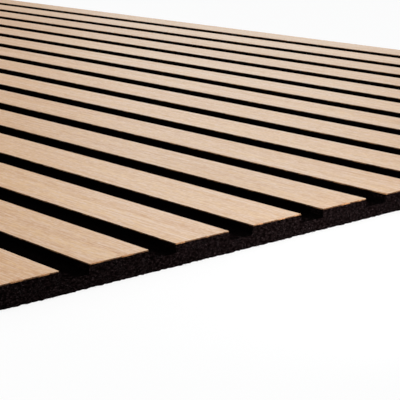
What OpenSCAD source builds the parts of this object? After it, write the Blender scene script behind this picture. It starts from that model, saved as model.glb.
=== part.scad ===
// Acoustic slat wall panel: a grooved felt board with a strip of oak veneer on every ridge.
// It lies face up with its slats along X, and the middle of its back is the origin.

/* [Panel] */
// Length of the panel, along its slats
panel_l = 2400; // [600:100:3000]
// Number of slats across the panel
slat_count = 15; // [5:1:20]
// Width of one slat
slat_w = 27; // [18:1:45]
// Clear width of the groove beside each slat
groove_w = 13; // [6:1:25]

/* [Felt board] */
// Thickness of the felt that is left under the grooves
base_t = 5.2; // [3:0.2:12]
// Height of each felt ridge above the floor of the grooves
ridge_h = 3.3; // [2:0.1:8]
// Radius that the cutter leaves in the bottom corners of a groove
groove_r = 0.8; // [0.3:0.1:1.5]

/* [Veneer] */
// Thickness of one veneer strip
veneer_t = 0.5; // [0.4:0.1:1.5]
// Arris that sanding takes off the long top edges of a strip
arris = 0.1; // [0.05:0.05:0.2]

/* [Hidden] */
// Roundness of the groove corners
$fn = 32;
// How far a cut runs past the face that it opens
overrun = 1;
// From one slat to the next, and the width and thickness that follow from it
pitch = slat_w + groove_w;
panel_w = slat_count * pitch;
felt_t = base_t + ridge_h;
felt_colour = [0.06, 0.05, 0.05];
oak_colour = [0.82, 0.70, 0.58];

// The name of the strip on slat n: veneer_strip_01, veneer_strip_02 and so on
function strip_name(n) = str("veneer_strip_", n < 10 ? "0" : "", n);

// Across position of the near edge of slat n: slat 1 is flush with the near long edge of the panel
function slat_y(n) = (n - 1) * pitch - panel_w / 2;

// Runs an outline drawn across (x) and up (y) along the whole length of the panel
module along_slats() {
    rotate([90, 0, 90])
        linear_extrude(height = panel_l, center = true)
            children();
}

// Outline of one milled groove, from its floor to above the ridges, with round bottom corners
module groove_outline() {
    translate([0, groove_r])
        square([groove_w, ridge_h - groove_r + overrun]);
    translate([groove_r, 0])
        square([groove_w - 2 * groove_r, ridge_h]);
    for (corner_x = [groove_r, groove_w - groove_r])
        translate([corner_x, groove_r])
            circle(r = groove_r);
}

// Outline of the last groove, which is open at the far long edge so that the next panel's slat 1 closes it
module open_groove_outline() {
    groove_outline();
    translate([groove_w / 2, 0])
        square([groove_w / 2 + overrun, ridge_h + overrun]);
}

// The board: one pressed felt sheet with a groove milled beside every slat
module felt_board() {
    color(felt_colour)
        along_slats()
            difference() {
                translate([-panel_w / 2, 0])
                    square([panel_w, felt_t]);
                for (n = [1 : slat_count])
                    translate([slat_y(n) + slat_w, base_t])
                        if (n < slat_count) groove_outline();
                        else open_groove_outline();
            }
}

// A veneer strip, as wide as the ridge that it is glued to, with an arris on its long top edges
module veneer_strip(n) {
    color(oak_colour)
        along_slats()
            translate([slat_y(n), felt_t])
                polygon([
                    [0, 0],
                    [slat_w, 0],
                    [slat_w, veneer_t - arris],
                    [slat_w - arris, veneer_t],
                    [arris, veneer_t],
                    [0, veneer_t - arris]
                ]);
}

felt_board();
for (n = [1 : slat_count])
    veneer_strip(n);
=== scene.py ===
"""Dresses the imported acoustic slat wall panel: strips of oak veneer on a milled board of black felt.

Lengths are in metres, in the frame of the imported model: the slats run along X, the back of the panel
lies at Z = 0 and the veneer faces up.
"""

import logging
import math
import random
from collections.abc import Callable, Iterator, Sequence
from contextlib import contextmanager
from dataclasses import dataclass
from enum import Enum
from functools import reduce
from operator import add

import bmesh
import bpy
from mathutils import Matrix, Vector


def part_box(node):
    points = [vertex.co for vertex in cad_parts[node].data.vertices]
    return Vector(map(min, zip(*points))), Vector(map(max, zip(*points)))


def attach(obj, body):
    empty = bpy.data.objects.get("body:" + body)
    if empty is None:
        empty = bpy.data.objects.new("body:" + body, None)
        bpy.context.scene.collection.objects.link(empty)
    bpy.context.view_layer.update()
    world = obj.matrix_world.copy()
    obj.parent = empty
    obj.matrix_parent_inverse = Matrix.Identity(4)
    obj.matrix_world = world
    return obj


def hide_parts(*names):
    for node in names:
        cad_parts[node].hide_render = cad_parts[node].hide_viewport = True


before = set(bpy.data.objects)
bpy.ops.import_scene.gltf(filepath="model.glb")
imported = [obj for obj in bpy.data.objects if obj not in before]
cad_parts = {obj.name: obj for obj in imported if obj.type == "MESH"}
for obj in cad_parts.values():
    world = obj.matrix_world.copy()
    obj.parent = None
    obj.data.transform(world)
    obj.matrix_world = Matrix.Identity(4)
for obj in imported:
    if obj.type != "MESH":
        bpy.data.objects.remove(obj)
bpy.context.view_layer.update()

log = logging.getLogger("slat_panel")

MM = 0.001
# Two places that are closer than this are the same.
SAME_PLACE = 0.01 * MM
# A face looks along an axis where its normal's part along it is above this.
SQUARE_ON = 0.9

Point = tuple[float, float, float]
Colour = tuple[float, float, float]
Span = tuple[float, float]
Shares = tuple[float, ...]
Settings = dict[str, object] | None
Sockets = dict[str | int, object] | None
PlaceTest = Callable[[Vector], bool]
PairTest = Callable[[Vector, Vector], bool]

WHITE: Colour = (1.0, 1.0, 1.0)
SEEN_RAYS = ("Is Camera Ray", "Is Glossy Ray", "Is Transmission Ray")


class Elements(Enum):
    """What an edit selects: Blender's name for it, and the name of its layer in a mesh."""

    VERT = "verts"
    EDGE = "edges"
    FACE = "faces"


class Axis(Enum):
    """The axes of the panel: along its slats, across them and out of its face."""

    X = 0
    Y = 1
    Z = 2


class Blend(Enum):
    """How one colour goes over another."""

    COVER = "MIX"
    TINT = "MULTIPLY"


class Slot(Enum):
    """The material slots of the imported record."""

    FELT = "black_felt"
    OAK = "oak_veneer"


class Wire:
    """A value in a node tree, which Python's operators combine with others through Math nodes."""

    def __init__(self, graph: "Graph", socket: bpy.types.NodeSocket) -> None:
        """Wraps an output socket of one of the graph's nodes."""
        self.graph = graph
        self.socket = socket

    def __add__(self, other: "Wire | float") -> "Wire":
        """The sum of two values."""
        return self.graph.maths("ADD", self, other)

    __radd__ = __add__

    def __sub__(self, other: "Wire | float") -> "Wire":
        """This value less the other."""
        return self.graph.maths("SUBTRACT", self, other)

    def __mul__(self, other: "Wire | float") -> "Wire":
        """The product of two values."""
        return self.graph.maths("MULTIPLY", self, other)

    def __mod__(self, other: "Wire | float") -> "Wire":
        """What is left of this value after whole steps of the other."""
        return self.graph.maths("MODULO", self, other)

    def __abs__(self) -> "Wire":
        """The value without its sign."""
        return self.graph.maths("ABSOLUTE", self)

    def __floor__(self) -> "Wire":
        """The whole number at or below the value."""
        return self.graph.maths("FLOOR", self)


class Graph:
    """The node tree of a material or of the world, written as Python expressions."""

    def __init__(self, owner: bpy.types.Material | bpy.types.World) -> None:
        """Empties the owner's node tree.

        Args:
            owner: the material or world whose tree is written.
        """
        owner.use_nodes = True
        self.tree = owner.node_tree
        self.tree.nodes.clear()

    def node(self, kind: str, settings: Settings = None, sockets: Sockets = None) -> bpy.types.Node:
        """Adds a node.

        Args:
            kind: the node's type, without Blender's prefix.
            settings: properties of the node, set before its sockets.
            sockets: a value or a wire for each input socket named.

        Returns:
            The new node.
        """
        made = self.tree.nodes.new(f"ShaderNode{kind}")
        for name, value in (settings or {}).items():
            setattr(made, name, value)
        for name, value in (sockets or {}).items():
            self.feed(made.inputs[name], value)
        return made

    def wire(
        self, kind: str, output: str | int, settings: Settings = None, sockets: Sockets = None
    ) -> Wire:
        """Adds a node and gives the output with a name or a number."""
        return Wire(self, self.node(kind, settings, sockets).outputs[output])

    def feed(self, socket: bpy.types.NodeSocket, value: object) -> None:
        """Links a wire to an input socket, or sets the socket's own value.

        Args:
            socket: the input socket.
            value: a wire, a number, a vector or a colour.
        """
        if isinstance(value, Wire):
            self.tree.links.new(value.socket, socket)
        elif socket.type == "RGBA":
            socket.default_value = (*value, 1.0)
        else:
            socket.default_value = value

    def maths(self, operation: str, *values: Wire | float) -> Wire:
        """The result of a Math node."""
        return self.wire("Math", 0, {"operation": operation}, dict(enumerate(values)))

    def vector(self, x: Wire | float, y: Wire | float, z: Wire | float) -> Wire:
        """A vector from three values."""
        return self.wire("CombineXYZ", 0, None, {"X": x, "Y": y, "Z": z})

    def largest(self, *values: Wire) -> Wire:
        """The largest of several values."""
        return reduce(lambda first, second: self.maths("MAXIMUM", first, second), values)

    def weigh(self, shares: Sequence[float], *values: Wire) -> Wire:
        """The sum of several values, each times its share."""
        return reduce(add, (value * share for share, value in zip(shares, values, strict=True)))

    def mix(
        self,
        share: Wire | float,
        first: Wire | Colour,
        second: Wire | Colour,
        blend: Blend = Blend.COVER,
    ) -> Wire:
        """Puts one colour over another.

        Args:
            share: how much of the second colour there is, from 0 to 1.
            first: the colour where the share is 0.
            second: the colour that is put over it.
            blend: how it is put there.

        Returns:
            The blended colour.
        """
        factor, colour_a, colour_b, result = 0, 6, 7, 2
        settings = {"data_type": "RGBA", "blend_type": blend.value}
        sockets = {factor: share, colour_a: first, colour_b: second}
        return self.wire("Mix", result, settings, sockets)

    def fade(self, value: Wire, span: Span) -> Wire:
        """Rises smoothly from 0 to 1 as a value crosses a span, which may run downwards."""
        sockets = {"Value": value, "From Min": span[0], "From Max": span[1]}
        return self.wire("MapRange", "Result", {"interpolation_type": "SMOOTHSTEP"}, sockets)

    def near_ends(self, place: Wire, half: float, reach: Span) -> Wire:
        """Rises from 0 to 1 before both ends of a stretch about 0, given its half and where it rises."""
        return self.fade(abs(place), (half - reach[0], half - reach[1]))

    def noise(self, place: Wire, scale: float, detail: float = 2.0, roughness: float = 0.5) -> Wire:
        """Soft noise from 0 to 1, with ripples for each metre and finer layers of some strength."""
        sockets = {"Vector": place, "Scale": scale, "Detail": detail, "Roughness": roughness}
        return self.wire("TexNoise", 0, None, sockets)

    def chance(self, seed: Wire) -> Wire:
        """An even random number from 0 to 1 for each value of the seed."""
        return self.wire("TexWhiteNoise", "Value", {"noise_dimensions": "1D"}, {"W": seed})

    def parts(self, vector: Wire) -> tuple[Wire, ...]:
        """The three parts of a vector."""
        split = self.node("SeparateXYZ", None, {"Vector": vector})
        return tuple(Wire(self, output) for output in split.outputs)

    def place(self) -> tuple[Wire, ...]:
        """The object's own coordinates, as a vector and as its three parts."""
        whole = self.wire("TexCoord", "Object")
        return whole, *self.parts(whole)

    def facing(self) -> tuple[Wire, ...]:
        """The three parts of the surface's normal in the object's own axes."""
        return self.parts(self.wire("TexCoord", "Normal"))

    def seen_directly(self) -> Wire:
        """1 for the rays of the camera and of reflections, 0 for those that light the panel."""
        path = self.node("LightPath")
        return self.largest(*(Wire(self, path.outputs[name]) for name in SEEN_RAYS))

    def bump(self, height: Wire, distance: float, strength: float) -> Wire:
        """A normal tilted by a height from 0 to 1, which stands out by a distance in metres."""
        return self.wire("Bump", 0, None, {"Height": height, "Distance": distance, "Strength": strength})

    def surface(self, sockets: Sockets) -> None:
        """Ends a material in a Principled shader with the inputs that differ from its defaults."""
        shader = self.wire("BsdfPrincipled", "BSDF", None, sockets)
        self.node("OutputMaterial", None, {"Surface": shader})


@dataclass(frozen=True)
class GrainLayer:
    """One layer of the oak's grain: noise that is drawn out along X.

    Attributes:
        along: its ripples for each metre along the grain.
        across: its ripples for each metre across the grain.
        seed: sets the layer apart from the others.
        detail: how many finer layers it has.
    """

    along: float
    across: float
    seed: float
    detail: float
    step: float = 7.3
    roughness: float = 0.6

    def draw(self, graph: Graph, along: Wire, across: Wire, strip: Wire) -> Wire:
        """The layer's noise at a place in the grain, with a figure of its own on each strip."""
        place = graph.vector(along * self.along, across * self.across, (strip + self.seed) * self.step)
        return graph.noise(place, 1.0, self.detail, self.roughness)


@dataclass(frozen=True)
class SawScorch:
    """Marks at the veneer's cut ends: singed specks beside the cuts, and cut edges painted dark brown,
    partly their own colour and partly painted shade, with near-black torn patches.

    Attributes:
        half_length: from the middle of a strip to its cut ends.
        singed_reach: how far from a cut end the specks start, and where they are thickest.
        speck_least: how strong a speck is out of the scorched patches.
        cut_facing: how far up a face looks where it isn't a cut edge, and where it is one.
    """

    half_length: float
    singed: Colour = (0.500, 0.250, 0.110)
    edge_brown_and_shade: Colour = (0.200, 0.094, 0.040)
    torn_black: Colour = (0.030, 0.014, 0.008)
    singed_reach: Span = (5.0 * MM, 0.5 * MM)
    patch_scale: float = 130.0
    patch_span: Span = (0.50, 0.60)
    speck_scale: float = 900.0
    speck_growth: float = 0.14
    speck_span: Span = (0.56, 0.66)
    speck_least: float = 0.12
    cut_facing: Span = (0.90, 0.35)
    edge_brown_and_shade_share: float = 0.90
    torn_scale: float = 1700.0
    torn_height: float = 0.6
    torn_scorch: float = 0.25
    torn_span: Span = (0.08, 0.30)
    torn_black_share: float = 0.85

    def over(self, graph: Graph, colour: Wire) -> Wire:
        """Puts the marks over the wood.

        Args:
            graph: the material's graph.
            colour: the wood's own colour.

        Returns:
            The wood with its marks.
        """
        place, along, _, _ = graph.place()
        by_the_cut = graph.near_ends(along, self.half_length, self.singed_reach)
        scorched = graph.fade(graph.noise(place, self.patch_scale, 1.0), self.patch_span)
        speckle = graph.noise(place, self.speck_scale, 1.0) + by_the_cut * self.speck_growth
        strength = self.speck_least + scorched * (1 - self.speck_least)
        specks = by_the_cut * graph.fade(speckle, self.speck_span) * strength
        colour = graph.mix(specks, colour, self.singed)

        _, _, up = graph.facing()
        # Partly painted shade: the faces that don't look up, the cut edges, are painted dark brown, darker
        # than the top.
        cut_face = graph.fade(up, self.cut_facing)
        colour = graph.mix(cut_face * self.edge_brown_and_shade_share, colour, self.edge_brown_and_shade)
        # Near-black patches where the cut edges look torn.
        tears = graph.noise(place, self.torn_scale, 1.0) * self.torn_height - scorched * self.torn_scorch
        torn = graph.fade(tears, self.torn_span)
        return graph.mix(cut_face * torn * self.torn_black_share, colour, self.torn_black)


@dataclass(frozen=True)
class OakVeneer:
    """Pale oak veneer, sanded and matt lacquered, with its grain along X and its own figure on each strip.

    Attributes:
        near_edge: the Y of the first strip's near long edge.
        pitch: from one strip to the next.
        half_length: from the middle of a strip to its cut ends.
        layers: its bands, streaks, fibres, mottle, cells, rays, warmth and tinge.
    """

    near_edge: float
    pitch: float
    half_length: float
    pale: Colour = (0.667, 0.460, 0.318)
    golden: Colour = (0.667, 0.424, 0.222)
    deep: Colour = (0.555, 0.309, 0.158)
    pore: Colour = (0.430, 0.205, 0.085)
    fleck: Colour = (0.750, 0.510, 0.330)
    dim_strip: Colour = (0.98, 0.975, 0.97)
    bright_strip: Colour = (1.02, 1.025, 1.035)
    layers: tuple[GrainLayer, ...] = (
        GrainLayer(0.9, 170.0, 0.0, 2.0),
        GrainLayer(16.0, 1200.0, 20.0, 2.0),
        GrainLayer(140.0, 1400.0, 60.0, 1.0),
        GrainLayer(600.0, 1200.0, 75.0, 2.0),
        GrainLayer(120.0, 2400.0, 90.0, 1.0),
        GrainLayer(300.0, 1100.0, 130.0, 1.0),
        GrainLayer(9.0, 240.0, 160.0, 2.0),
        GrainLayer(260.0, 1000.0, 190.0, 1.0),
    )
    drift_along: float = 1.7
    drift_by_strip: float = 3.1
    drift_width: float = 5.0 * MM
    slope_seed: float = 40.0
    slope_range: float = 0.012
    tone_shares: Shares = (0.11, 0.30, 0.34, 0.25)
    tone_span: Span = (0.585, 0.415)
    warm_shares: Shares = (0.45, 0.55)
    warm_span: Span = (0.40, 0.60)
    pore_span: Span = (0.58, 0.72)
    porous_span: Span = (0.62, 0.40)
    pore_share: float = 0.40
    fleck_span: Span = (0.60, 0.74)
    fleck_share: float = 0.40
    relief_shares: Shares = (0.35, 0.25, 0.20, -0.8)
    relief_height: float = 0.12 * MM
    relief_strength: float = 0.40
    roughness: float = 0.42
    fibre_roughness: float = 0.18
    pore_roughness: float = 0.25
    gloss: float = 0.04

    def make(self) -> bpy.types.Material:
        """The veneer's material.

        Returns:
            The material.
        """
        material = bpy.data.materials.new("pale_oak_veneer")
        graph = Graph(material)
        _, along, across, _ = graph.place()
        strip = math.floor((across - self.near_edge) * (1 / self.pitch))
        winding = graph.vector(along * self.drift_along, strip * self.drift_by_strip, 0.0)
        drift = (graph.noise(winding, 1.0, 1.0) - 0.5) * self.drift_width
        slope = (graph.chance(strip + self.slope_seed) - 0.5) * self.slope_range
        grain = across + drift + along * slope

        drawn = (layer.draw(graph, along, grain, strip) for layer in self.layers)
        bands, streaks, fibres, mottle, cells, rays, warmth, tinge = drawn

        warm = graph.fade(graph.weigh(self.warm_shares, warmth, tinge), self.warm_span)
        tone = graph.fade(graph.weigh(self.tone_shares, bands, streaks, fibres, mottle), self.tone_span)
        pores = graph.fade(cells, self.pore_span) * graph.fade(bands, self.porous_span)
        flecks = graph.fade(rays, self.fleck_span)
        colour = graph.mix(tone, graph.mix(warm, self.pale, self.golden), self.deep)
        colour = graph.mix(pores * self.pore_share, colour, self.pore)
        colour = graph.mix(flecks * self.fleck_share, colour, self.fleck)
        shade = graph.mix(graph.chance(strip), self.dim_strip, self.bright_strip)
        colour = graph.mix(1.0, colour, shade, Blend.TINT)

        relief = graph.weigh(self.relief_shares, fibres, streaks, mottle, pores)
        open_grain = (fibres - 0.5) * self.fibre_roughness + pores * self.pore_roughness
        graph.surface({
            "Base Color": SawScorch(self.half_length).over(graph, colour),
            "Roughness": self.roughness + open_grain,
            "Specular IOR Level": self.gloss,
            "Normal": graph.bump(relief, self.relief_height, self.relief_strength),
        })
        return material


@dataclass(frozen=True)
class BlackFelt:
    """Black needled felt: a tangle of fibres, a few of them paler, with no gloss.

    The grooves are darker with painted shade, but for one side of each mouth, where a pool of light is
    painted.

    Attributes:
        half_length: from the middle of the board to its cut ends.
        half_width: from the middle of the board to its long sides.
        slat_width: the width of one ridge.
        pitch: from one ridge to the next.
        cut_facing: how far a face looks along X or down where it is out of the grooves.
        side_reach: how far inside a long side the paler felt starts, and where it is full.
        mouth_reach: how far inside a cut end the painted light in a groove reaches, and where it is full.
        lit_width: how far from a groove's near wall the painted light reaches, and where it is full.
    """

    half_length: float
    half_width: float
    slat_width: float
    pitch: float
    # Painted shade: the grooves' near-black colour stands in for the shade that falls in them.
    groove_shade: Colour = (0.0008, 0.0006, 0.0006)
    deep: Colour = (0.0010, 0.0005, 0.0005)
    clump: Colour = (0.0038, 0.0021, 0.0021)
    fibre: Colour = (0.0370, 0.0250, 0.0265)
    across_scale: float = 0.65
    upward_scale: float = 1.35
    clump_scale: float = 950.0
    clump_roughness: float = 0.6
    clump_span: Span = (0.38, 0.64)
    speck_scale: float = 2300.0
    speck_span: Span = (0.58, 0.72)
    tangle_scale: float = 1300.0
    tangle_width: Span = (0.045, 0.010)
    pale_shares: Shares = (0.75, 0.25)
    pale_span: Span = (0.44, 0.62)
    cut_facing: Span = (0.30, 0.75)
    side_reach: Span = (1.5 * MM, 0.5 * MM)
    mouth_reach: Span = (10.5 * MM, 5.0 * MM)
    lit_width: Span = (9.0 * MM, 6.0 * MM)
    lit_share: float = 0.85
    groove_felt_share: float = 0.15
    relief_shares: Shares = (0.6, 0.4, 0.3)
    relief_height: float = 0.35 * MM
    relief_strength: float = 0.8
    roughness: float = 0.92
    clump_dullness: float = 0.12

    def make(self) -> bpy.types.Material:
        """The felt's material.

        Returns:
            The material.
        """
        material = bpy.data.materials.new("black_needled_felt")
        graph = Graph(material)
        _, along, across, above = graph.place()
        layered = graph.vector(along, across * self.across_scale, above * self.upward_scale)
        clumps = graph.noise(layered, self.clump_scale, roughness=self.clump_roughness)
        specks = graph.noise(layered, self.speck_scale, 1.0)
        winding = graph.noise(layered, self.tangle_scale)
        tangle = graph.fade(abs(winding - 0.5), self.tangle_width)

        colour = graph.mix(graph.fade(clumps, self.clump_span), self.deep, self.clump)
        pale = graph.weigh(self.pale_shares, graph.fade(specks, self.speck_span), tangle)
        colour = graph.mix(pale * graph.fade(clumps, self.pale_span), colour, self.fibre)
        outside_or_lit = self._outside_or_lit(graph, along, across)
        # Painted shade: in the grooves only a small share of the felt's own colour shows.
        shown = self.groove_felt_share + outside_or_lit * (1 - self.groove_felt_share)
        relief = graph.weigh(self.relief_shares, clumps, specks, tangle)
        graph.surface({
            "Base Color": graph.mix(shown, self.groove_shade, colour),
            "Roughness": self.roughness + (clumps - 0.5) * self.clump_dullness,
            "Specular IOR Level": 0.0,
            "Normal": graph.bump(relief, self.relief_height, self.relief_strength),
        })
        return material

    def _outside_or_lit(self, graph: Graph, along: Wire, across: Wire) -> Wire:
        """Where the felt is out of the grooves' painted shade, or has painted light at one side of a
        groove's mouth.

        Args:
            graph: the material's graph.
            along: the place along the board.
            across: the place across the board.

        Returns:
            1 on the outer faces and in the painted light at the mouths, 0 in the grooves' painted shade.
        """
        end_on, _, up = graph.facing()
        sawn = graph.fade(abs(end_on), self.cut_facing)
        back = graph.fade(up, tuple(-level for level in self.cut_facing))
        side = graph.near_ends(across, self.half_width, self.side_reach)
        mouth = graph.near_ends(along, self.half_length, self.mouth_reach)
        into_groove = (across + self.half_width) % self.pitch - self.slat_width
        # Painted light: a pool of light painted near each groove's mouth, beside its near wall, where a low
        # back light would reach.
        lit_mouth = mouth * graph.fade(into_groove, self.lit_width) * self.lit_share
        return graph.largest(lit_mouth, sawn, back, side)


@dataclass(frozen=True)
class LooseFibre:
    """The loose fibres of the felt, each with its own tone.

    Attributes:
        tone_layer: the mesh layer that holds each fibre's tone.
    """

    tone_layer: str
    black: Colour = (0.0034, 0.0018, 0.0018)
    grey: Colour = (0.0520, 0.0360, 0.0390)
    wear_scale: float = 700.0
    wear_gain: float = 2.0
    worn_span: Span = (0.35, 1.2)
    roughness: float = 0.75
    worn_dullness: float = 0.2
    gloss: float = 0.15

    def make(self) -> bpy.types.Material:
        """The fibres' material.

        Returns:
            The material.
        """
        material = bpy.data.materials.new("loose_felt_fibre")
        graph = Graph(material)
        place, _, _, _ = graph.place()
        tone = graph.wire("Attribute", "Fac", {"attribute_name": self.tone_layer})
        wear = graph.noise(place, self.wear_scale, 1.0)
        worn = graph.fade(tone * wear * self.wear_gain, self.worn_span)
        graph.surface({
            "Base Color": graph.mix(worn, self.black, self.grey),
            "Roughness": self.roughness + (wear - 0.5) * self.worn_dullness,
            "Specular IOR Level": self.gloss,
        })
        return material


@dataclass(frozen=True)
class StudioPaper:
    """The pale paper that the panel lies on: the camera sees it white, and the panel shades it.

    Attributes:
        glow: how much of what the camera sees is plain white near the panel.
        plain_reach: how far off it starts to turn fully white and where it is so, to hide the horizon.
    """

    colour: Colour = (0.93, 0.93, 0.93)
    flecked: Colour = (0.89, 0.89, 0.89)
    fleck_scale: float = 300.0
    fleck_share: float = 0.05
    glow: float = 0.85
    plain_reach: Span = (3.0, 9.0)

    def make(self) -> bpy.types.Material:
        """The paper's material.

        Returns:
            The material.
        """
        material = bpy.data.materials.new("studio_paper")
        graph = Graph(material)
        place, _, _, _ = graph.place()
        flecks = graph.noise(place, self.fleck_scale) * self.fleck_share
        paper = graph.mix(flecks, self.colour, self.flecked)
        matt = graph.wire("BsdfDiffuse", 0, None, {"Color": paper})
        white = graph.wire("Emission", 0, None, {"Color": WHITE, "Strength": 1.0})
        distance = graph.wire("VectorMath", "Value", {"operation": "LENGTH"}, {0: place})
        plain = graph.fade(distance, self.plain_reach)
        share = graph.seen_directly() * (self.glow + plain * (1 - self.glow))
        shader = graph.wire("MixShader", 0, None, {0: share, 1: matt, 2: white})
        graph.node("OutputMaterial", None, {"Surface": shader})
        return material


class Workpiece:
    """A mesh object that is shaped with Blender's own operators."""

    def __init__(self, thing: bpy.types.Object) -> None:
        """Takes a mesh object to work on."""
        self.thing = thing

    @classmethod
    def block(cls, name: str, low: Vector, high: Vector) -> "Workpiece":
        """Starts from a box.

        Args:
            name: the piece's name.
            low: the box's lowest corner.
            high: the box's highest corner.

        Returns:
            The new workpiece, with its place in its mesh.
        """
        bpy.ops.object.select_all(action="DESELECT")
        bpy.ops.mesh.primitive_cube_add(size=1, location=(low + high) / 2)
        made = cls(bpy.context.active_object)
        made.thing.name = name
        made.thing.scale = high - low
        made.settle()
        return made

    def only(self) -> None:
        """Selects this piece alone and makes it the active one."""
        bpy.ops.object.select_all(action="DESELECT")
        self.thing.select_set(True)
        bpy.context.view_layer.objects.active = self.thing

    def settle(self) -> None:
        """Moves the object's place, turn and scale into its mesh."""
        self.only()
        bpy.ops.object.transform_apply(location=True, rotation=True, scale=True)

    @contextmanager
    def editing(self, elements: Elements) -> Iterator[None]:
        """Opens the piece in edit mode with nothing selected.

        Args:
            elements: what the edit selects.

        Yields:
            Nothing; edit mode ends with the block.
        """
        self.only()
        bpy.ops.object.mode_set(mode="EDIT")
        bpy.ops.mesh.select_mode(type=elements.name)
        bpy.ops.mesh.select_all(action="DESELECT")
        yield
        bpy.ops.object.mode_set(mode="OBJECT")

    def pick_faces(self, test: PairTest) -> None:
        """Selects, in edit mode, the faces whose centre and normal pass a test."""
        bmesh.from_edit_mesh(self.thing.data).normal_update()
        self._pick(Elements.FACE, lambda face: test(face.calc_center_median(), face.normal))

    def pick_edges(self, test: PairTest) -> None:
        """Selects, in edit mode, the edges whose two ends pass a test."""
        self._pick(Elements.EDGE, lambda edge: test(edge.verts[0].co, edge.verts[1].co))

    def pick_open_edges(self, test: PairTest) -> None:
        """Selects, in edit mode, the edges at a hole's rim whose two ends pass a test."""
        self._pick(Elements.EDGE, lambda edge: edge.is_boundary and test(*(end.co for end in edge.verts)))

    def pick_vertices(self, test: PlaceTest) -> None:
        """Selects, in edit mode, the vertices whose place passes a test."""
        self._pick(Elements.VERT, lambda vertex: test(vertex.co))

    def _pick(self, elements: Elements, test: Callable[..., bool]) -> None:
        """Selects the elements that pass a test.

        Args:
            elements: what is selected.
            test: says yes or no to one of them.
        """
        shape = bmesh.from_edit_mesh(self.thing.data)
        for element in getattr(shape, elements.value):
            element.select_set(test(element))
        if elements is Elements.VERT:
            shape.select_flush_mode()
        bmesh.update_edit_mesh(self.thing.data)

    def slice(self, places: Sequence[float], axis: Axis, within: PairTest | None = None) -> None:
        """Adds rows of edges where planes across an axis meet the piece.

        Args:
            places: where the planes are along the axis.
            axis: the axis that the planes lie across.
            within: limits the cut to faces that pass this test.
        """
        normal = Vector((0.0, 0.0, 0.0))
        normal[axis.value] = 1.0
        with self.editing(Elements.FACE):
            for place in places:
                if within is None:
                    bpy.ops.mesh.select_all(action="SELECT")
                else:
                    self.pick_faces(within)
                bpy.ops.mesh.bisect(plane_co=normal * place, plane_no=normal)

    def finish_with(self, kind: str, **settings: object) -> None:
        """Adds a modifier and applies it.

        Args:
            kind: the modifier's type.
            **settings: its properties.
        """
        self.only()
        modifier = self.thing.modifiers.new(kind.lower(), kind)
        for name, value in settings.items():
            setattr(modifier, name, value)
        bpy.ops.object.modifier_apply(modifier=modifier.name)

    def group(self, name: str, test: PlaceTest) -> None:
        """Puts the vertices whose place passes a test into a group."""
        members = [vertex.index for vertex in self.thing.data.vertices if test(vertex.co)]
        self.thing.vertex_groups.new(name=name).add(members, 1.0, "REPLACE")

    def copy(self, name: str) -> "Workpiece":
        """Copies the piece, with a mesh of its own.

        Args:
            name: the copy's name.

        Returns:
            The copy.
        """
        twin = self.thing.copy()
        twin.data = self.thing.data.copy()
        twin.name = name
        bpy.context.scene.collection.objects.link(twin)
        return Workpiece(twin)

    def remove(self) -> None:
        """Takes the piece out of the scene."""
        bpy.data.objects.remove(self.thing)

    def dress(self, material: bpy.types.Material, slot: Slot, *nodes: str) -> None:
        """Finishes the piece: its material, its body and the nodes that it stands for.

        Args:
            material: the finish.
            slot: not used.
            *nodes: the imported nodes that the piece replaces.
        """
        self.thing.data.materials.clear()
        self.thing.data.materials.append(material)
        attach(self.thing, "root")
        if nodes:
            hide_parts(*nodes)

    def report(self) -> None:
        """Logs the piece's name and how many triangles it has."""
        triangles = sum(len(face.vertices) - 2 for face in self.thing.data.polygons)
        log.info("%s: %d triangles", self.thing.name, triangles)


@dataclass(frozen=True)
class Lumps:
    """Uneven lumps that a saw or a cutter leaves on a face.

    Attributes:
        ripple: the size of one lump.
        height: from the deepest hollow to the highest lump.
        depth: how many finer layers they have.
        rest: the share of the height that lies behind the flat face.
    """

    name: str
    ripple: float
    height: float
    depth: int
    contrast: float
    rest: float

    def push(self, piece: Workpiece, group: str, axis: Axis, side: int) -> None:
        """Pushes a group of vertices in and out.

        Args:
            piece: the piece that is roughened.
            group: the name of the group.
            axis: the axis to push along.
            side: 1 where the face looks up the axis and -1 where it looks down it.
        """
        texture = bpy.data.textures.new(self.name, "CLOUDS")
        texture.noise_scale = self.ripple
        texture.noise_depth = self.depth
        texture.contrast = self.contrast
        piece.finish_with(
            "DISPLACE",
            texture=texture,
            texture_coords="LOCAL",
            direction=axis.name,
            vertex_group=group,
            strength=self.height * side,
            mid_level=self.rest,
        )


def steps(start: float, end: float, wanted: float) -> list[float]:
    """The places that split a stretch into even parts of about a wanted length, without its ends."""
    count = max(1, round((end - start) / wanted))
    return [start + (end - start) * index / count for index in range(1, count)]


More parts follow.
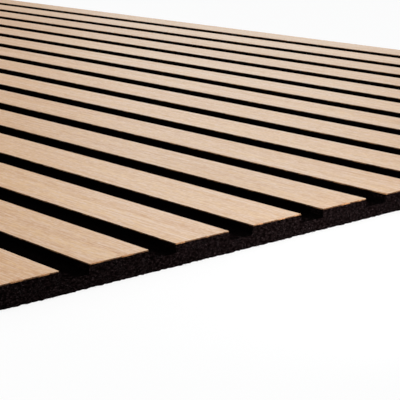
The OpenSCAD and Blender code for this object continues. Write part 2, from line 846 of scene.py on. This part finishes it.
@dataclass
class FeltBoard:
    """The board of pressed felt, with a groove milled beside every slat.

    Attributes:
        low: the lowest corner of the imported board.
        high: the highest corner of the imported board.
        slat_width: the width of one ridge.
        pitch: from one ridge to the next.
        cut_rows: where rows of edges stand in the roughened depth, as shares of it.
    """

    low: Vector
    high: Vector
    slat_width: float
    pitch: float
    groove_floor: float = 5.2 * MM
    corner_radius: float = 0.8 * MM
    corner_segments: int = 5
    cell: float = 0.95 * MM
    long_cell: float = 120 * MM
    cut_depth: float = 2.4 * MM
    cut_rows: Shares = (0.25, 0.6, 1.0)
    lumps: Lumps = Lumps("felt_lumps", 2.0 * MM, 0.65 * MM, 2, 1.4, 0.62)
    frays: Lumps = Lumps("frayed_rim", 1.2 * MM, 0.9 * MM, 1, 2.0, 0.62)
    overrun: float = 5.0 * MM
    smooth_angle: float = math.radians(40)

    def build(self) -> Workpiece:
        """Models one pitch of the board, repeats it and roughens its two cut ends.

        Returns:
            The finished board.
        """
        board = self._one_pitch()
        board.finish_with(
            "ARRAY",
            count=round((self.high.y - self.low.y) / self.pitch),
            use_relative_offset=False,
            use_constant_offset=True,
            constant_offset_displace=(0.0, self.pitch, 0.0),
            use_merge_vertices=True,
            merge_threshold=SAME_PLACE,
        )
        self._close_sides(board)
        self._roughen_ends(board)
        board.only()
        bpy.ops.object.shade_smooth_by_angle(angle=self.smooth_angle)
        return board

    def _one_pitch(self) -> Workpiece:
        """One ridge and the groove beside it, open at both sides.

        Returns:
            The first pitch of the board, with rows of vertices where it will be roughened.
        """
        start, end = self.low.y, self.low.y + self.pitch
        wall = start + self.slat_width
        pitch = Workpiece.block("milled_felt_board", self.low, Vector((self.high.x, end, self.high.z)))
        self._mill(pitch, wall, end)

        foot = self.groove_floor + self.corner_radius
        pitch.slice([foot], Axis.Z)
        inner = [self.high.x - self.cut_depth * share for share in self.cut_rows]
        long_run = steps(-self.high.x + self.cut_depth, self.high.x - self.cut_depth, self.long_cell)
        pitch.slice([*inner, *(-place for place in inner), *long_run], Axis.X)
        below_floor = steps(0.0, self.groove_floor, self.cell)
        rows = [*below_floor, self.groove_floor, *steps(foot, self.high.z, self.cell)]
        flat_floor = steps(wall + self.corner_radius, end - self.corner_radius, self.cell)
        columns = [*steps(start, wall, self.cell), *flat_floor]
        for places, axis in ((rows, Axis.Z), (columns, Axis.Y)):
            pitch.slice(places, axis, lambda centre, _: abs(centre.x) > self.high.x - self.cut_depth)

        with pitch.editing(Elements.FACE):
            pitch.pick_faces(
                lambda centre, normal: abs(normal.y) > SQUARE_ON
                and centre.z < foot
                and (centre.y < start + SAME_PLACE or centre.y > end - SAME_PLACE)
            )
            bpy.ops.mesh.delete(type="FACE")
        return pitch

    def _mill(self, pitch: Workpiece, wall: float, end: float) -> None:
        """Cuts a groove with round bottom corners.

        Args:
            pitch: the block to cut.
            wall: the Y of the groove's near wall.
            end: the Y of its far wall.
        """
        cutter = Workpiece.block(
            "groove_cutter",
            Vector((self.low.x - self.overrun, wall, self.groove_floor)),
            Vector((self.high.x + self.overrun, end, self.high.z + self.overrun)),
        )
        middle = (self.groove_floor + self.high.z) / 2
        with cutter.editing(Elements.EDGE):
            cutter.pick_edges(
                lambda first, second: max(first.z, second.z) < middle
                and abs(first.x - second.x) > self.overrun
            )
            bpy.ops.mesh.bevel(offset=self.corner_radius, segments=self.corner_segments)
        pitch.finish_with("BOOLEAN", operation="DIFFERENCE", solver="EXACT", object=cutter.thing)
        cutter.remove()

    def _close_sides(self, board: Workpiece) -> None:
        """Opens the last groove at the far long edge and closes both long sides.

        Args:
            board: the repeated board.
        """
        last_corner = self.high.y - self.corner_radius
        with board.editing(Elements.VERT):
            board.pick_vertices(
                lambda place: place.y > last_corner - SAME_PLACE
                and place.z > self.groove_floor + SAME_PLACE
            )
            bpy.ops.transform.resize(value=(1, 1, 0), center_override=(0, 0, self.groove_floor))
            bpy.ops.mesh.select_all(action="SELECT")
            bpy.ops.mesh.remove_doubles(threshold=SAME_PLACE)
        for side in (self.low.y, self.high.y):
            with board.editing(Elements.EDGE):
                board.pick_open_edges(
                    lambda *ends: all(abs(end.y - side) < SAME_PLACE for end in ends)
                )
                bpy.ops.mesh.edge_face_add()
        with board.editing(Elements.FACE):
            bpy.ops.mesh.select_all(action="SELECT")
            bpy.ops.mesh.normals_make_consistent(inside=False)

    def _roughen_ends(self, board: Workpiece) -> None:
        """Makes the cut ends lumpy, as the saw leaves the fibres.

        Args:
            board: the closed board.
        """
        for side in (1, -1):
            plane = self.high.x * side
            board.group("cut_end", lambda place: abs(place.x - plane) < SAME_PLACE)
            board.group("rim", lambda place: abs(place.x - plane) < SAME_PLACE and place.z < SAME_PLACE)
            self.lumps.push(board, "cut_end", Axis.X, side)
            self.frays.push(board, "rim", Axis.X, side)
            board.thing.vertex_groups.clear()


@dataclass
class VeneerStrips:
    """The strips of oak veneer, one glued on each ridge of the felt.

    Attributes:
        boxes: the lowest and highest corner of each packed strip, by the strip's name.
        fine_reach: how far in from the +X end the faces are shorter.
    """

    boxes: dict[str, tuple[Vector, Vector]]
    corner: float = 0.30 * MM
    corner_segments: int = 3
    arris: float = 0.09 * MM
    arris_segments: int = 2
    cut_depth: float = 0.5 * MM
    column: float = 0.55 * MM
    fine_station: float = 2.2 * MM
    fine_reach: float = 420 * MM
    coarse_station: float = 30 * MM
    saw_marks: Lumps = Lumps("saw_marks", 1.1 * MM, 0.45 * MM, 2, 1.5, 0.7)
    saw_depth: float = 0.303 * MM
    nicks: Lumps = Lumps("edge_nicks", 3.2 * MM, 0.20 * MM, 3, 2.0, 0.7)
    nick_depth: float = 0.135 * MM

    def build(self) -> dict[str, Workpiece]:
        """Models the first strip, copies it for the others and gives each its own saw marks.

        Returns:
            The finished strips, by the name of the node that each stands for.
        """
        names = sorted(self.boxes)
        first_low, first_high = self.boxes[names[0]]
        pattern = self._pattern(first_low, first_high)
        strips = {}
        for name in names:
            low, high = self.boxes[name]
            strip = pattern.copy(name.replace("veneer_strip", "oak_strip"))
            strip.thing.location = low - first_low
            strip.settle()
            self._mark(strip, low, high)
            strips[name] = strip
        pattern.remove()
        return strips

    def _pattern(self, low: Vector, high: Vector) -> Workpiece:
        """The strip that all the others are copied from.

        Args:
            low: its lowest corner.
            high: its highest corner.

        Returns:
            The plain strip, with rows of vertices where it will be marked.
        """
        strip = Workpiece.block("strip_pattern", low, high)
        middle = (low.z + high.z) / 2
        with strip.editing(Elements.EDGE):
            strip.pick_edges(lambda first, second: abs(first.z - second.z) > self.arris)
            bpy.ops.mesh.bevel(offset=self.corner, segments=self.corner_segments)
            strip.pick_edges(lambda first, second: min(first.z, second.z) > middle)
            bpy.ops.mesh.bevel(offset=self.arris, segments=self.arris_segments)
        reach = high.x - self.corner - self.cut_depth
        coarse = steps(low.x, high.x - self.fine_reach, self.coarse_station)
        fine = steps(high.x - self.fine_reach, high.x - self.corner, self.fine_station)
        strip.slice([*coarse, *fine, -reach, reach], Axis.X)
        columns = steps(low.y + self.corner, high.y - self.corner, self.column)
        strip.slice(columns, Axis.Y, lambda centre, _: abs(centre.x) > reach)
        return strip

    def _mark(self, strip: Workpiece, low: Vector, high: Vector) -> None:
        """Leaves saw marks on a strip's ends and small nicks along its long edges.

        Args:
            strip: the strip in its place.
            low: its lowest corner.
            high: its highest corner.
        """
        strip.group("right", lambda place: place.x > high.x - self.saw_depth)
        strip.group("left", lambda place: place.x < low.x + self.saw_depth)
        strip.group("far", lambda place: place.y > high.y - self.nick_depth)
        strip.group("near", lambda place: place.y < low.y + self.nick_depth)
        self.saw_marks.push(strip, "right", Axis.X, 1)
        self.saw_marks.push(strip, "left", Axis.X, -1)
        self.nicks.push(strip, "far", Axis.Y, 1)
        self.nicks.push(strip, "near", Axis.Y, -1)
        strip.thing.vertex_groups.clear()


@dataclass
class CutNap:
    """The loose fibres that stand out where the felt is cut.

    Attributes:
        board: the board that they grow from.
        tone_layer: the mesh layer that holds each fibre's tone.
        curls: how many fibres are modelled of each length.
        lift: the least, the most and the usual angle of a fibre off the face, in degrees.
        tuft_area: the area of cut felt for each tuft.
    """

    board: FeltBoard
    seed: int = 7
    tone_layer: str = "fibre_tone"
    fibre_radius: float = 0.035 * MM
    fibre_lengths: tuple[float, ...] = (0.9 * MM, 1.3 * MM, 1.8 * MM)
    fibre_bends: Shares = (0.3, 0.55, 0.8)
    curl: float = 1.6
    curls: int = 2
    lift: tuple[float, float, float] = (2, 70, 8)
    fibres_in_tuft: int = 9
    tuft_designs: int = 6
    tuft_reach: float = 1.5 * MM
    tuft_area: float = 6.0 * MM * MM
    floor_gap: float = 0.02 * MM
    top_gap: float = 0.1 * MM

    def build(self) -> list[Workpiece]:
        """Models a few tufts and sets copies of them all over both cut ends.

        Returns:
            The nap of each end.
        """
        draw = random.Random(self.seed)
        fibres = [self._fibre(length, draw) for length in self.fibre_lengths for _ in range(self.curls)]
        tufts = [self._tuft(fibres, draw) for _ in range(self.tuft_designs)]
        naps = [
            self._scatter("cut_end_nap", tufts, self.board.high.x, 1, draw),
            self._scatter("far_end_nap", tufts, self.board.low.x, -1, draw),
        ]
        for pattern in (*fibres, *tufts):
            pattern.remove()
        return naps

    def _fibre(self, length: float, draw: random.Random) -> Workpiece:
        """One curled fibre that grows along Z from the origin.

        Args:
            length: its length.
            draw: the source of its curl.

        Returns:
            The fibre.
        """
        bpy.ops.object.select_all(action="DESELECT")
        bpy.ops.mesh.primitive_cone_add(
            vertices=3, radius1=self.fibre_radius, radius2=0, depth=length, location=(0, 0, length / 2)
        )
        fibre = Workpiece(bpy.context.active_object)
        fibre.thing.name = "fibre_pattern"
        fibre.settle()
        fibre.slice([length * share for share in self.fibre_bends], Axis.Z)
        for axis in (Axis.X, Axis.Y):
            curl = draw.uniform(-self.curl, self.curl)
            fibre.finish_with("SIMPLE_DEFORM", deform_method="BEND", deform_axis=axis.name, angle=curl)
        return fibre

    def _tuft(self, fibres: Sequence[Workpiece], draw: random.Random) -> Workpiece:
        """A patch of fibres that lie every way on a face across X, a few of them standing out.

        Args:
            fibres: the fibres to copy.
            draw: the source of their places and turns.

        Returns:
            The tuft, about the origin, with its face towards X.
        """
        parts = []
        for _ in range(self.fibres_in_tuft):
            part = draw.choice(fibres).copy("tuft_fibre")
            lift = math.radians(draw.triangular(*self.lift))
            turn = turned(draw.uniform(0, math.tau), Axis.X) @ turned(lift, Axis.Y)
            spin = turned(draw.uniform(0, math.tau), Axis.Z)
            spot = Vector((0.0, draw.uniform(-1, 1), draw.uniform(-1, 1))) * self.tuft_reach
            part.thing.data.transform(Matrix.Translation(spot) @ turn @ spin)
            tone = part.thing.data.attributes.new(self.tone_layer, "FLOAT", "POINT")
            value = draw.random() ** 2
            tone.data.foreach_set("value", [value] * len(part.thing.data.vertices))
            parts.append(part)
        return join("tuft_pattern", parts)

    def _scatter(
        self, name: str, tufts: Sequence[Workpiece], plane: float, side: int, draw: random.Random
    ) -> Workpiece:
        """Copies tufts onto one cut end.

        Args:
            name: the nap's name.
            tufts: the tufts to copy.
            plane: the X of the cut end.
            side: 1 where the end faces +X and -1 where it faces -X.
            draw: the source of places and turns.

        Returns:
            The nap.
        """
        board = self.board
        area = (board.high.y - board.low.y) * board.high.z
        facing = turned(0.0 if side > 0 else math.pi, Axis.Z)
        parts = []
        for _ in range(round(area / self.tuft_area)):
            spot = Vector((plane, draw.uniform(board.low.y, board.high.y), draw.uniform(0.0, board.high.z)))
            in_groove = (spot.y - board.low.y) % board.pitch > board.slat_width
            if in_groove and spot.z > board.groove_floor:
                continue
            part = draw.choice(tufts).copy("nap_tuft")
            spin = turned(draw.uniform(0, math.tau), Axis.X)
            part.thing.data.transform(Matrix.Translation(spot) @ facing @ spin)
            parts.append(part)
        nap = join(name, parts)
        for vertex in nap.thing.data.vertices:
            vertex.co.z = min(max(vertex.co.z, self.floor_gap), board.high.z + self.top_gap)
        return nap


def turned(angle: float, axis: Axis) -> Matrix:
    """A turn about an axis."""
    return Matrix.Rotation(angle, 4, axis.name)


def join(name: str, parts: Sequence[Workpiece]) -> Workpiece:
    """Joins pieces into one.

    Args:
        name: the name of the joined piece.
        parts: the pieces, which become one object.

    Returns:
        The joined piece.
    """
    bpy.ops.object.select_all(action="DESELECT")
    for part in parts:
        part.thing.select_set(True)
    bpy.context.view_layer.objects.active = parts[0].thing
    bpy.ops.object.join()
    joined = Workpiece(bpy.context.active_object)
    joined.thing.name = name
    return joined


@dataclass(frozen=True)
class Lamp:
    """A square soft box.

    Attributes:
        size: the length of its sides.
        power: its power in watts.
        mirrored: whether it shows in reflections.
    """

    name: str
    place: Point
    target: Point
    size: float
    power: float
    tint: Colour = WHITE
    mirrored: bool = True

    def hang(self) -> None:
        """Adds the lamp to the scene."""
        light = bpy.data.lights.new(self.name, "AREA")
        light.shape = "SQUARE"
        light.size = self.size
        light.energy = self.power
        light.color = self.tint
        lamp = bpy.data.objects.new(self.name, light)
        lamp.location = self.place
        aim = Vector(self.target) - Vector(self.place)
        lamp.rotation_euler = aim.to_track_quat("-Z", "Y").to_euler()
        lamp.visible_camera = False
        lamp.visible_glossy = self.mirrored
        bpy.context.scene.collection.objects.link(lamp)


@dataclass(frozen=True)
class Studio:
    """The pale floor, the soft light and the camera."""

    floor_reach: float = 12.0
    floor_gap: float = 0.2 * MM
    sky: float = 0.48
    camera_place: Point = (1.54226, -0.51369, 0.13884)
    camera_forward: Point = (-0.72367, 0.64582, -0.24334)
    camera_up: Point = (-0.18607, 0.15696, 0.96992)
    camera_clip: float = 0.01
    lens: float = 113.56
    lamps: tuple[Lamp, ...] = (
        Lamp("wide_soft_box", (1.4, -0.3, 2.2), (1.0, -0.1, 0.0), 2.0, 24.0),
        Lamp("sheen_soft_box", (-3.24, 4.08, 2.40), (1.08, -0.09, 0.0), 1.9, 69.5, (0.74, 0.935, 1.0)),
        Lamp("end_soft_box", (1.33, -0.14, 0.017), (1.2, -0.14, 0.005), 0.03, 0.40, mirrored=False),
    )

    def build(self) -> None:
        """Adds the floor, the light and the camera."""
        self._floor()
        self._sky()
        for lamp in self.lamps:
            lamp.hang()
        self._camera()
        bpy.context.scene.view_settings.view_transform = "Standard"

    def _floor(self) -> None:
        """Lays the paper."""
        bpy.ops.object.select_all(action="DESELECT")
        bpy.ops.mesh.primitive_plane_add(size=2 * self.floor_reach, location=(0, 0, -self.floor_gap))
        bpy.ops.object.transform_apply(location=True)
        floor = bpy.context.active_object
        floor.name = "studio_floor"
        floor.data.materials.append(StudioPaper().make())

    def _sky(self) -> None:
        """Lights the panel evenly from all round, in front of a white backdrop."""
        world = bpy.data.worlds.new("soft_sky")
        bpy.context.scene.world = world
        graph = Graph(world)
        strength = self.sky + graph.seen_directly() * (1 - self.sky)
        sky = graph.wire("Background", 0, None, {"Color": WHITE, "Strength": strength})
        graph.node("OutputWorld", None, {"Surface": sky})

    def _camera(self) -> None:
        """Sets up the camera at the photograph's view."""
        forward = Vector(self.camera_forward).normalized()
        right = forward.cross(Vector(self.camera_up)).normalized()
        up = right.cross(forward)
        turn = Matrix((right, up, -forward)).transposed()
        data = bpy.data.cameras.new("camera")
        data.lens = self.lens
        data.clip_start = self.camera_clip
        data.clip_end = 4 * self.floor_reach
        camera = bpy.data.objects.new("camera", data)
        camera.matrix_world = Matrix.Translation(self.camera_place) @ turn.to_4x4()
        bpy.context.scene.collection.objects.link(camera)
        bpy.context.scene.camera = camera


def main() -> None:
    """Builds the panel's pieces in order, then the studio."""
    logging.basicConfig(level=logging.INFO)
    strip_boxes = {name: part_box(name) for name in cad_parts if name.startswith("veneer_strip")}
    first, second = (strip_boxes[name] for name in sorted(strip_boxes)[:2])
    pitch = second[0].y - first[0].y

    board = FeltBoard(*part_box("felt_board"), slat_width=first[1].y - first[0].y, pitch=pitch)
    felt = board.build()
    finish = BlackFelt(board.high.x, board.high.y, board.slat_width, board.pitch)
    felt.dress(finish.make(), Slot.FELT, "felt_board")
    felt.report()

    oak = OakVeneer(near_edge=first[0].y, pitch=pitch, half_length=board.high.x).make()
    for node, strip in VeneerStrips(strip_boxes).build().items():
        strip.dress(oak, Slot.OAK, node)
        strip.report()

    nap = CutNap(board)
    fibre = LooseFibre(nap.tone_layer).make()
    for patch in nap.build():
        patch.dress(fibre, Slot.FELT)
        patch.report()

    Studio().build()


if __name__ == "__main__":
    main()
